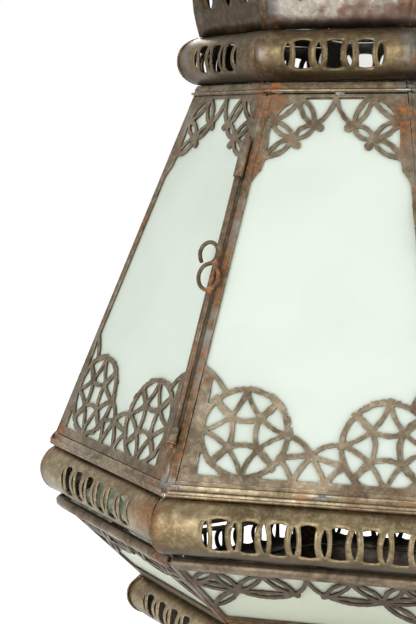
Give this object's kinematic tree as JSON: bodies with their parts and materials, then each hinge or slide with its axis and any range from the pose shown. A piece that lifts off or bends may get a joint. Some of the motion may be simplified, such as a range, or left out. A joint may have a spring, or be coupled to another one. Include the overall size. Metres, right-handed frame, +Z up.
{
  "type": "hanging lantern",
  "caption": "Eight-sided hanging lantern of pierced metal and frosted glass, with a hinged door, a turn latch, half-round bands, a dome and a hanging ring.",
  "frame": {"origin": "point where a hook bears, at the top of the hole of the hanging ring, on the lantern's axis", "axes": "+Z up along the lantern's axis, -Y out through the door, +X to the right as the door is faced"},
  "size_m": [0.3146, 0.3146, 0.5411],
  "materials": {
    "band_iron": "aged brown, worn bright on the crest",
    "belly_glass": "frosted, grey green",
    "bulb_cap": "bright",
    "bulb_glass": "opal",
    "bush_plastic": "moulded",
    "frame_iron": "aged brown with rust and solder",
    "fretwork_iron": "aged brown, rusted at the seams",
    "frosted_glass": "frosted, pale green",
    "lamp_ceramic": "glazed white",
    "tin_sheet": "tinned, stained with rust"
  },
  "bodies": {
    "hanging_ring": {"hanging_ring": "frame_iron"},
    "lantern": {"belly_clips": "frame_iron", "belly_foot_rail": "frame_iron", "belly_fretwork_0": "fretwork_iron", "belly_fretwork_1": "fretwork_iron", "belly_fretwork_2": "fretwork_iron", "belly_fretwork_3": "fretwork_iron", "belly_fretwork_4": "fretwork_iron", "belly_fretwork_5": "fretwork_iron", "belly_fretwork_6": "fretwork_iron", "belly_fretwork_7": "fretwork_iron", "belly_head_rail": "frame_iron", "belly_panes": "belly_glass", "belly_posts": "frame_iron", "big_band": "band_iron", "bottom_finial": "frame_iron", "bottom_petals": "frame_iron", "bulb_cap": "bulb_cap", "bulb_glass": "bulb_glass", "cable_bush": "bush_plastic", "corner_posts": "frame_iron", "crown_cap": "frame_iron", "crown_nut": "frame_iron", "dome_gores": "tin_sheet", "fretwork_1": "fretwork_iron", "fretwork_2": "fretwork_iron", "fretwork_3": "fretwork_iron", "fretwork_4": "fretwork_iron", "fretwork_5": "fretwork_iron", "fretwork_6": "fretwork_iron", "fretwork_7": "fretwork_iron", "hanger_eye": "frame_iron", "hinge_pins": "frame_iron", "hinge_post_leaves": "frame_iron", "holder_nut": "frame_iron", "lamp_bracket": "frame_iron", "lamp_holder": "lamp_ceramic", "latch_sleeves": "frame_iron", "pane_1": "frosted_glass", "pane_2": "frosted_glass", "pane_3": "frosted_glass", "pane_4": "frosted_glass", "pane_5": "frosted_glass", "pane_6": "frosted_glass", "pane_7": "frosted_glass", "pane_clips": "frame_iron", "sill_rail": "frame_iron", "small_band": "band_iron", "top_band": "band_iron", "top_rail": "frame_iron"},
    "door": {"door_fretwork": "fretwork_iron", "door_rim": "frame_iron", "door_pane": "frosted_glass", "door_clips": "frame_iron", "hinge_door_leaves": "frame_iron"},
    "latch": {"latch_rod": "frame_iron"}
  },
  "joints": [
    {"name": "lantern_swing", "type": "hinge", "parent": "hanging_ring", "child": "lantern", "pos_m": [0, 0, -0.0348], "axis": [1, 0, 0], "range_deg": [-30, 30]},
    {"name": "door_hinge", "type": "hinge", "parent": "lantern", "child": "door", "pos_m": [0.04898, -0.11825, -0.28474], "axis": [-0.1479, 0.357, 0.9223], "range_deg": [0, 120]},
    {"name": "latch_turn", "type": "hinge", "parent": "lantern", "child": "latch", "pos_m": [-0.0499, -0.11767, -0.28481], "axis": [0.1479, 0.357, 0.9223], "range_deg": [-26, 190]}
  ]
}
